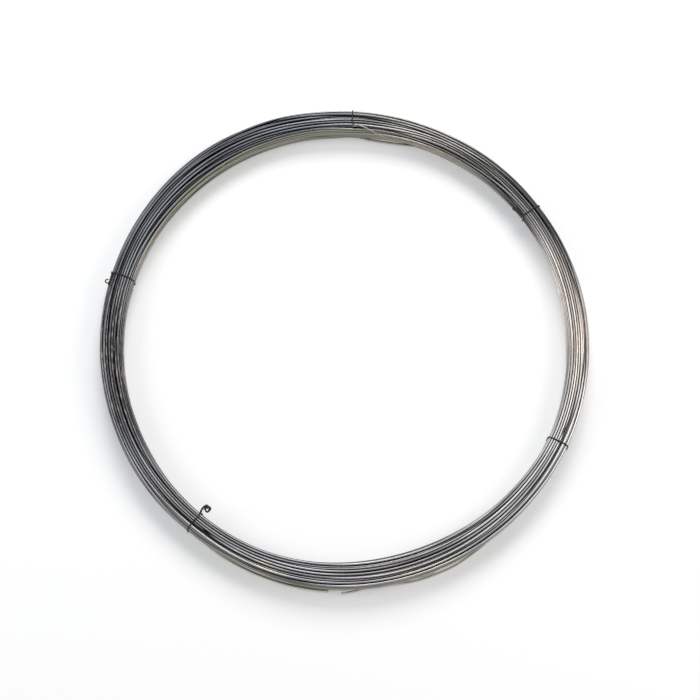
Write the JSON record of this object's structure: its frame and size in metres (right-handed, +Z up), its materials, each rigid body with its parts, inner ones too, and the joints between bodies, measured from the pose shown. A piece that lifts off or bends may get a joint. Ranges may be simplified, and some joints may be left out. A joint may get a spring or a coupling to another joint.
{
  "type": "steel wire coil",
  "caption": "Ring-shaped coil of round drawn steel wire that lies flat, with an open bore, tied by hand with thin tie wires whose twisted tails end in open eyes.",
  "frame": {"origin": "on the coil's axis, at the floor under the tie wires that it rests on", "axes": "+Z up along the coil's axis, +X to the right and +Y to the top of the picture"},
  "size_m": [0.5519, 0.5536, 0.0306],
  "materials": {
    "coil_wire": "drawn steel wire, dull blue-grey with a warm tan sheen where it catches the light",
    "tie_wire": "dark annealed tie wire, dull"
  },
  "bodies": {
    "root": {"wire_coil": "coil_wire", "tie_wire_right": "tie_wire", "tie_wire_upper_right": "tie_wire", "tie_wire_top": "tie_wire", "tie_wire_left": "tie_wire", "tie_wire_lower_left": "tie_wire"}
  },
  "joints": []
}
